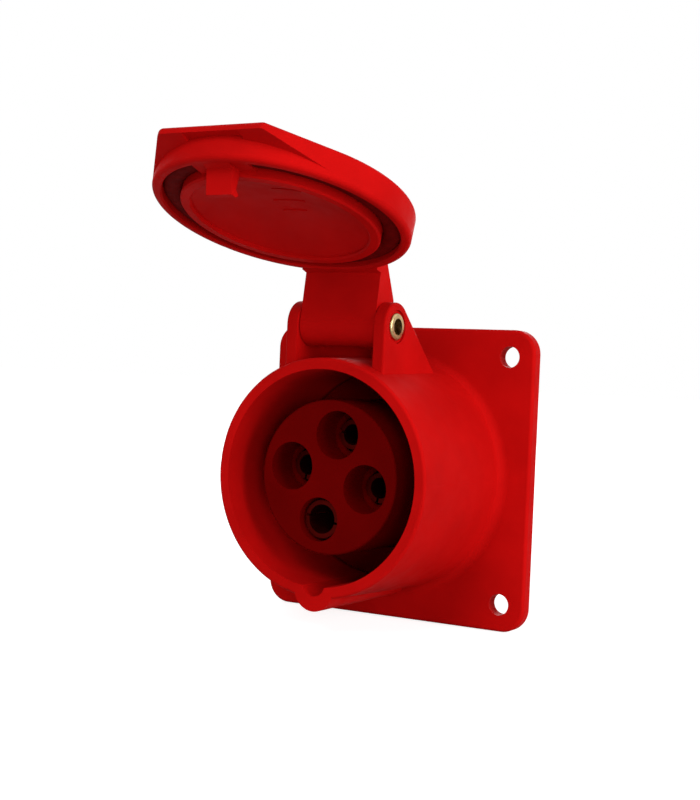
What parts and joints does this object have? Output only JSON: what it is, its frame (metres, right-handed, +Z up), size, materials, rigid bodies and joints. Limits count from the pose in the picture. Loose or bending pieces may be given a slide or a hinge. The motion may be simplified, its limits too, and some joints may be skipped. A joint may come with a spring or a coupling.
{
  "type": "industrial panel socket",
  "caption": "Square-flanged straight panel socket with round keyed barrel, recessed contact carrier and sprung hinged lid with catch and beak.",
  "frame": {"origin": "centre of the fixing holes, on the back face of the flange", "axes": "+Y out of the flange's back into the panel, so the socket faces -Y; +Z up; +X to the right seen from the front"},
  "size_m": [0.075, 0.1062, 0.1125],
  "materials": {
    "red_plastic": "satin moulded red plastic",
    "seal_rubber": "dark red soft rubber",
    "rivet_brass": "bright rolled brass",
    "contact_brass": "turned brass, dull plated",
    "plated_steel": "zinc plated"
  },
  "bodies": {
    "socket": {"housing": "red_plastic", "flange_gasket": "seal_rubber", "hinge_rivet": "rivet_brass", "lid_spring": "plated_steel", "carrier_front": "red_plastic", "carrier_rear": "red_plastic", "clamp_screw": "plated_steel", "carrier_screw_1": "plated_steel", "carrier_screw_2": "plated_steel", "contact_phase_1": "contact_brass", "clip_phase_1": "plated_steel", "terminal_screw_phase_1": "plated_steel", "contact_phase_2": "contact_brass", "clip_phase_2": "plated_steel", "terminal_screw_phase_2": "plated_steel", "contact_earth": "contact_brass", "clip_earth": "plated_steel", "terminal_screw_earth": "plated_steel", "contact_phase_3": "contact_brass", "clip_phase_3": "plated_steel", "terminal_screw_phase_3": "plated_steel"},
    "lid": {"lid": "red_plastic", "lid_gasket": "seal_rubber"}
  },
  "joints": [
    {"name": "lid_hinge", "type": "hinge", "parent": "socket", "child": "lid", "pos_m": [0, -0.0309, 0.0365], "axis": [1, 0, 0], "range_deg": [-11.3, 108.7]}
  ]
}
